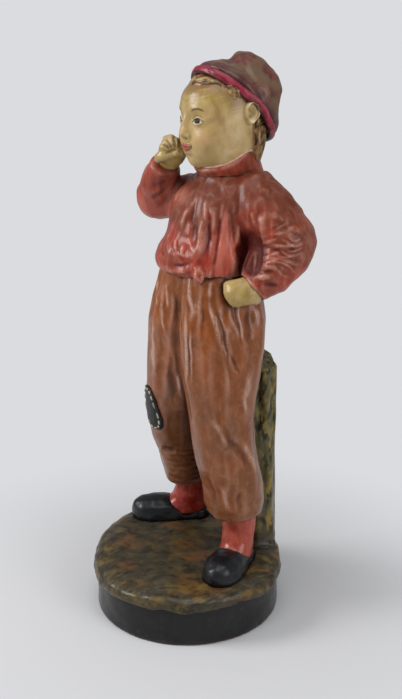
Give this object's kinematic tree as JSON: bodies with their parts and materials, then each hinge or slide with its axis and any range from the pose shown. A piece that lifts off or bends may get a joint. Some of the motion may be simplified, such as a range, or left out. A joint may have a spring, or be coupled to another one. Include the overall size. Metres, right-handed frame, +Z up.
{
  "type": "terracotta figurine",
  "caption": "Painted terracotta figure of a standing boy in cap, blouse and patched trousers, fist to his cheek, on a mound with a tree stump and a round hollow plinth.",
  "frame": {"origin": "centre of the plinth's underside, on the surface it stands on", "axes": "+Z up, the boy faces -Y, his left hand side is +X"},
  "size_m": [0.195, 0.1766, 0.4991],
  "materials": {
    "plinth": "charcoal cold paint on terracotta, worn and chipped, satin",
    "mound": "dark olive and ochre brushed paint on terracotta, satin",
    "stump": "dark olive and ochre brushed paint on terracotta, satin",
    "shoes": "blue-black gloss paint on terracotta",
    "socks": "salmon-red paint under varnish on terracotta",
    "trousers": "orange-brown paint with worn pale ridges under varnish",
    "patch": "slate paint with a black outline and cream stitches",
    "blouse": "brick-red paint with brown patina under varnish",
    "collar": "brick-red paint with a cream edge under varnish",
    "flesh": "cream-ochre paint with olive patina, glossy varnish",
    "hair": "ochre-brown painted strands on a flesh ground",
    "cap_band": "crimson paint with dark edges, satin",
    "cap_crown": "brown paint with ochre patches, satin"
  },
  "bodies": {
    "root": {"plinth": "plinth", "mound": "mound", "stump": "stump", "shoe_left": "shoes", "sock_left": "socks", "shoe_right": "shoes", "sock_right": "socks", "trousers": "trousers", "knee_patch": "patch", "blouse": "blouse", "waist_knot": "blouse", "collar": "collar", "sleeve_left": "blouse", "sleeve_right": "blouse", "hand_left": "flesh", "hand_right": "flesh", "head": "flesh", "ear_left": "flesh", "ear_right": "flesh", "hair_fringe": "hair", "hair_nape": "hair", "cap_band": "cap_band", "cap_crown": "cap_crown"}
  },
  "joints": []
}
